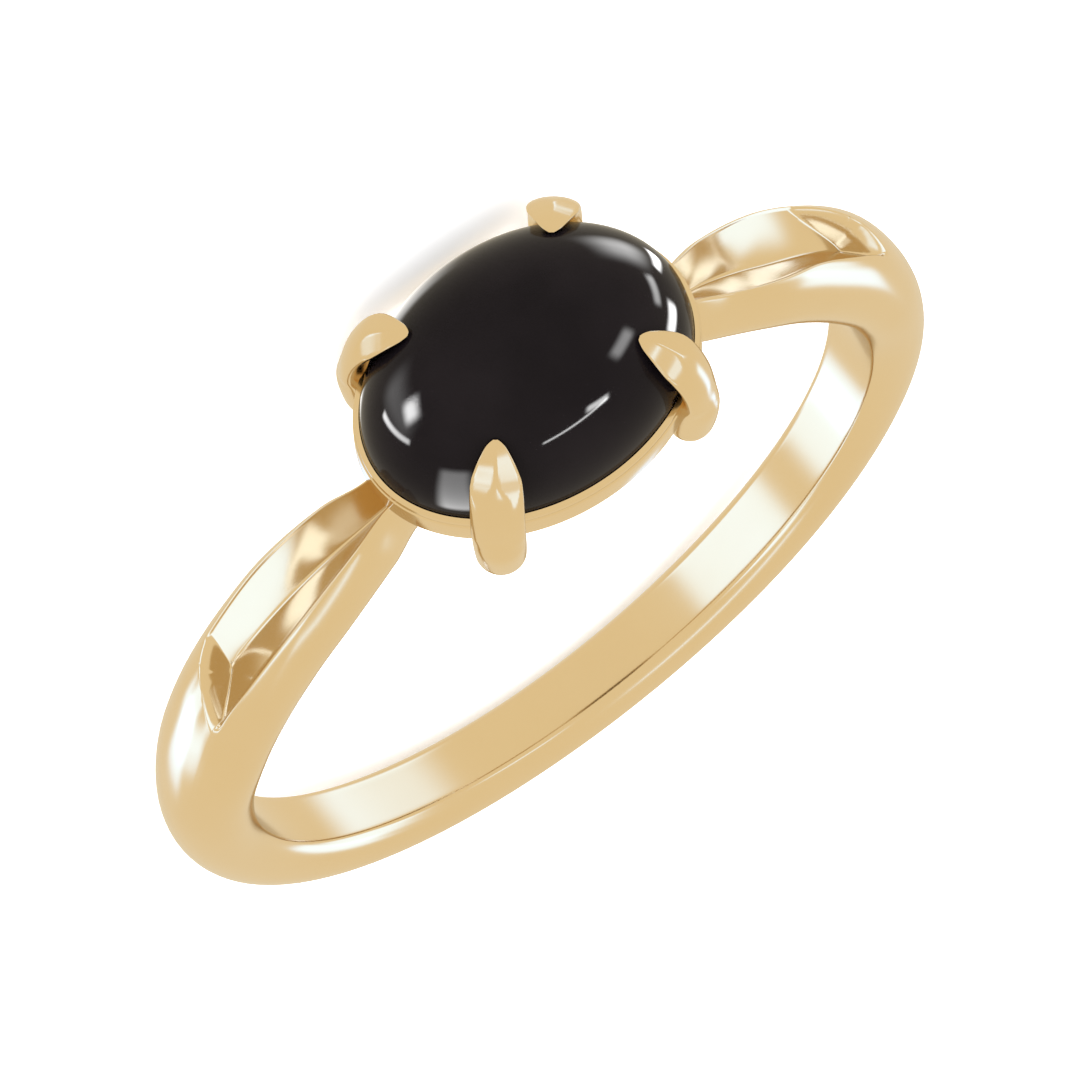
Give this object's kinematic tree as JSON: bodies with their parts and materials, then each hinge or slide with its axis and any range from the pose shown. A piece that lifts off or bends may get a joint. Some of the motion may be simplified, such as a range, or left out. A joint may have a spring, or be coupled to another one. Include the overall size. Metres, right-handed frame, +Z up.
{
  "type": "cabochon ring",
  "caption": "Finger ring whose claws hold an oval domed stone over an oval collet, on a rounded band with tapering grooves in its shoulders.",
  "frame": {"origin": "centre of the finger hole", "axes": "the ring lies on its side: +Z up from the surface it lies on, +Y away from the head, +X to the right seen from the head"},
  "size_m": [0.0208, 0.0235, 0.0066],
  "materials": {
    "gold": "polished yellow gold",
    "onyx": "polished black stone"
  },
  "bodies": {
    "root": {"mounting": "gold", "cabochon": "onyx"}
  },
  "joints": []
}
